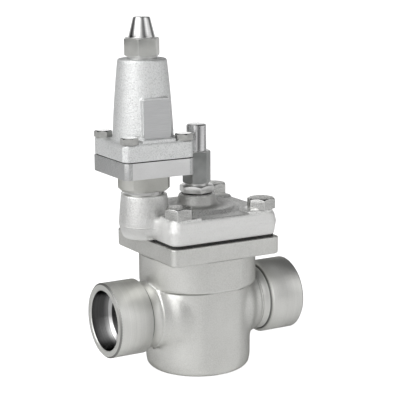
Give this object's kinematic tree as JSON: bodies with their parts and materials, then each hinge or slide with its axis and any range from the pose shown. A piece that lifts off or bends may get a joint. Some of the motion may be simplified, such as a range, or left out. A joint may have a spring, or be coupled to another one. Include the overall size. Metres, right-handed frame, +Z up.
{
  "type": "pressure regulating valve",
  "caption": "Pilot-operated pressure regulating valve: in-line weld sockets, square bolted cover, screwed-in pilot with a conical cap and a sealed manual spindle",
  "frame": {"origin": "centre of the cup's flat base", "axes": "+Z up along the valve axis, +X along the pipe towards the outlet socket, -Y towards the land on the pilot bonnet"},
  "size_m": [0.176, 0.1008, 0.2953],
  "materials": {
    "forged_body": "satin blasted forging with turned sockets",
    "cast_cover": "bright blasted casting",
    "cast_bonnet": "bright blasted casting",
    "machined_steel": "machined, satin",
    "bolt_steel": "satin stainless",
    "nut_steel": "satin machined",
    "cap_steel": "polished cone and top, satin hexagon",
    "bright_ring": "bright turned",
    "ground_steel": "ground",
    "spring_wire": "oiled spring wire",
    "gasket_sheet": "dull dark sheet",
    "seal_rubber": "dull",
    "seat_polymer": "waxy"
  },
  "bodies": {
    "valve": {"valve_body": "forged_body", "cover_gasket": "gasket_sheet", "top_cover": "cast_cover", "cover_bolts": "bolt_steel", "function_module": "machined_steel", "module_upper_oring": "seal_rubber", "module_lower_oring": "seal_rubber", "main_spring": "spring_wire", "spring_support": "machined_steel", "gland_gasket": "gasket_sheet", "gland_nut": "nut_steel", "pilot_neck_gasket": "bright_ring", "pilot_base": "machined_steel", "stem_oring": "seal_rubber", "pilot_orifice": "ground_steel", "pilot_lifting_spring": "spring_wire", "diaphragm": "gasket_sheet", "setting_spring": "spring_wire", "screw_oring": "seal_rubber", "pilot_bonnet": "cast_bonnet", "bonnet_screws": "bolt_steel"},
    "piston_set": {"servo_piston": "machined_steel", "piston_ring": "seat_polymer", "piston_rod": "ground_steel", "rod_nut": "machined_steel", "throttle_cone": "machined_steel", "seat_ring": "seat_polymer", "seat_retainer": "machined_steel", "cone_nut": "machined_steel"},
    "spindle_seal": {"spindle_oring": "seal_rubber"},
    "spindle": {"manual_spindle": "ground_steel"},
    "spindle_cap_ring": {"spindle_cap_gasket": "machined_steel"},
    "spindle_cap": {"spindle_cap": "cap_steel"},
    "pilot_cap_ring": {"pilot_cap_gasket": "bright_ring"},
    "pilot_cap": {"pilot_cap": "cap_steel"},
    "pilot_lifter": {"pressure_pad": "machined_steel", "pilot_plug": "ground_steel"},
    "setting_seat": {"spring_seat": "machined_steel"},
    "adjuster": {"adjusting_screw": "ground_steel"}
  },
  "joints": [
    {"name": "main_opening", "type": "slide", "parent": "valve", "child": "piston_set", "axis": [0, 0, -1], "range_m": [0, 0.012], "stiffness_N_per_m": 2000, "springref_m": -0.01, "deforming": ["main_spring"]},
    {"name": "spindle_feed", "type": "slide", "parent": "valve", "child": "spindle_seal", "axis": [0, 0, -1], "range_m": [0, 0.005]},
    {"name": "spindle_turn", "type": "hinge", "parent": "spindle_seal", "child": "spindle", "pos_m": [0, 0, 0.15], "axis": [0, 0, -1], "range_deg": [0, 1440.5]},
    {"name": "spindle_cap_rise", "type": "slide", "parent": "valve", "child": "spindle_cap_ring", "axis": [0, 0, 1], "range_m": [0, 0.0105]},
    {"name": "spindle_cap_turn", "type": "hinge", "parent": "spindle_cap_ring", "child": "spindle_cap", "pos_m": [0, 0, 0.18], "axis": [0, 0, 1], "range_deg": [0, 2520.5]},
    {"name": "pilot_cap_rise", "type": "slide", "parent": "valve", "child": "pilot_cap_ring", "axis": [0, 0, 1], "range_m": [0, 0.008]},
    {"name": "pilot_cap_turn", "type": "hinge", "parent": "pilot_cap_ring", "child": "pilot_cap", "pos_m": [-0.0495, 0, 0.28], "axis": [0, 0, 1], "range_deg": [0, 1920.5]},
    {"name": "pilot_opening", "type": "slide", "parent": "valve", "child": "pilot_lifter", "axis": [0, 0, 1], "range_m": [0, 0.0006], "stiffness_N_per_m": 10000, "springref_m": -0.005, "deforming": ["diaphragm", "pilot_lifting_spring"]},
    {"name": "setting_feed", "type": "slide", "parent": "valve", "child": "setting_seat", "axis": [0, 0, -1], "range_m": [0, 0.01], "deforming": ["setting_spring"]},
    {"name": "setting_turn", "type": "hinge", "parent": "setting_seat", "child": "adjuster", "pos_m": [-0.0495, 0, 0.26], "axis": [0, 0, -1], "range_deg": [0, 2400.5]}
  ],
  "couplings": [
    {"joint": "spindle_turn", "follows": "spindle_feed", "rad_per_m": 5026.5},
    {"joint": "spindle_cap_turn", "follows": "spindle_cap_rise", "rad_per_m": 4188.8},
    {"joint": "pilot_cap_turn", "follows": "pilot_cap_rise", "rad_per_m": 4188.8},
    {"joint": "setting_turn", "follows": "setting_feed", "rad_per_m": 4188.8}
  ]
}
